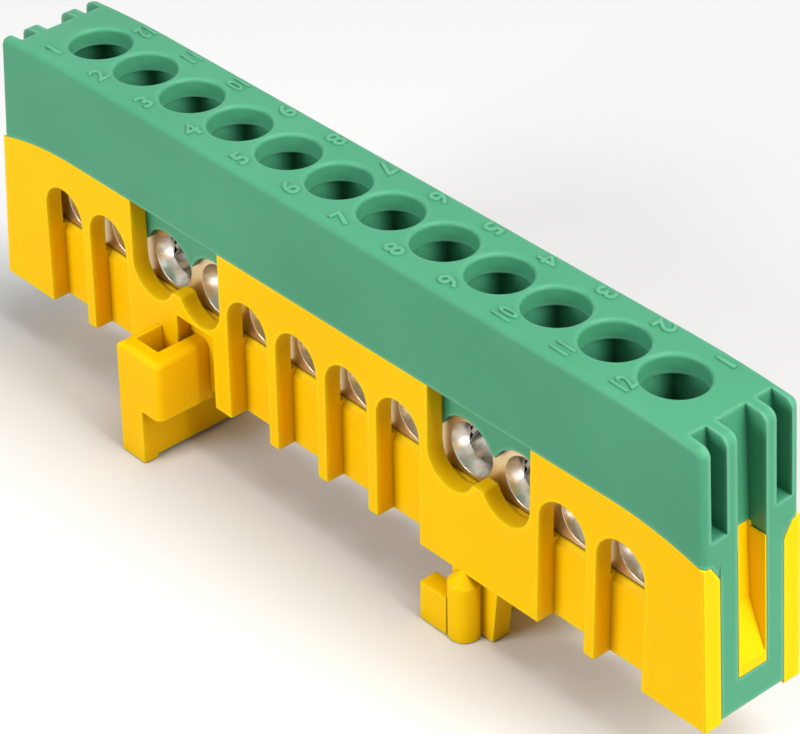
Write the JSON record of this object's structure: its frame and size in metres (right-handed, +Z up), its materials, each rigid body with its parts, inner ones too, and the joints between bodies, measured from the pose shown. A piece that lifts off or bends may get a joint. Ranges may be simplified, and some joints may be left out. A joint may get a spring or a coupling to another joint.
{
  "type": "insulated terminal bar",
  "caption": "Insulated earth terminal bar with a snap-fitted slotted cover, clamping screws, wire openings on both sides and feet for a mounting rail.",
  "frame": {"origin": "centre of the housing's plan at the level on which the feet stand", "axes": "+X along the row from way 1 to way 12, +Y from the numbered front side to the back, +Z up out of the screw access holes"},
  "size_m": [0.0908, 0.0166, 0.0333],
  "materials": {
    "base_yellow": "satin moulded plastic",
    "cover_green": "satin moulded plastic",
    "bar_plating": "nickel-plated",
    "screw_steel": "zinc-plated"
  },
  "bodies": {
    "housing": {"base": "base_yellow", "cover": "cover_green", "bar": "bar_plating"},
    "screw_01_body": {"screw_01": "screw_steel"},
    "screw_02_body": {"screw_02": "screw_steel"},
    "screw_03_body": {"screw_03": "screw_steel"},
    "screw_04_body": {"screw_04": "screw_steel"},
    "screw_05_body": {"screw_05": "screw_steel"},
    "screw_06_body": {"screw_06": "screw_steel"},
    "screw_07_body": {"screw_07": "screw_steel"},
    "screw_08_body": {"screw_08": "screw_steel"},
    "screw_09_body": {"screw_09": "screw_steel"},
    "screw_10_body": {"screw_10": "screw_steel"},
    "screw_11_body": {"screw_11": "screw_steel"},
    "screw_12_body": {"screw_12": "screw_steel"}
  },
  "joints": [
    {"name": "screw_01_travel", "type": "slide", "parent": "housing", "child": "screw_01_body", "axis": [0, 0, 1], "range_m": [-0.003, 0]},
    {"name": "screw_02_travel", "type": "slide", "parent": "housing", "child": "screw_02_body", "axis": [0, 0, 1], "range_m": [-0.003, 0]},
    {"name": "screw_03_travel", "type": "slide", "parent": "housing", "child": "screw_03_body", "axis": [0, 0, 1], "range_m": [-0.003, 0]},
    {"name": "screw_04_travel", "type": "slide", "parent": "housing", "child": "screw_04_body", "axis": [0, 0, 1], "range_m": [-0.003, 0]},
    {"name": "screw_05_travel", "type": "slide", "parent": "housing", "child": "screw_05_body", "axis": [0, 0, 1], "range_m": [-0.003, 0]},
    {"name": "screw_06_travel", "type": "slide", "parent": "housing", "child": "screw_06_body", "axis": [0, 0, 1], "range_m": [-0.003, 0]},
    {"name": "screw_07_travel", "type": "slide", "parent": "housing", "child": "screw_07_body", "axis": [0, 0, 1], "range_m": [-0.003, 0]},
    {"name": "screw_08_travel", "type": "slide", "parent": "housing", "child": "screw_08_body", "axis": [0, 0, 1], "range_m": [-0.003, 0]},
    {"name": "screw_09_travel", "type": "slide", "parent": "housing", "child": "screw_09_body", "axis": [0, 0, 1], "range_m": [-0.003, 0]},
    {"name": "screw_10_travel", "type": "slide", "parent": "housing", "child": "screw_10_body", "axis": [0, 0, 1], "range_m": [-0.003, 0]},
    {"name": "screw_11_travel", "type": "slide", "parent": "housing", "child": "screw_11_body", "axis": [0, 0, 1], "range_m": [-0.003, 0]},
    {"name": "screw_12_travel", "type": "slide", "parent": "housing", "child": "screw_12_body", "axis": [0, 0, 1], "range_m": [-0.003, 0]}
  ]
}
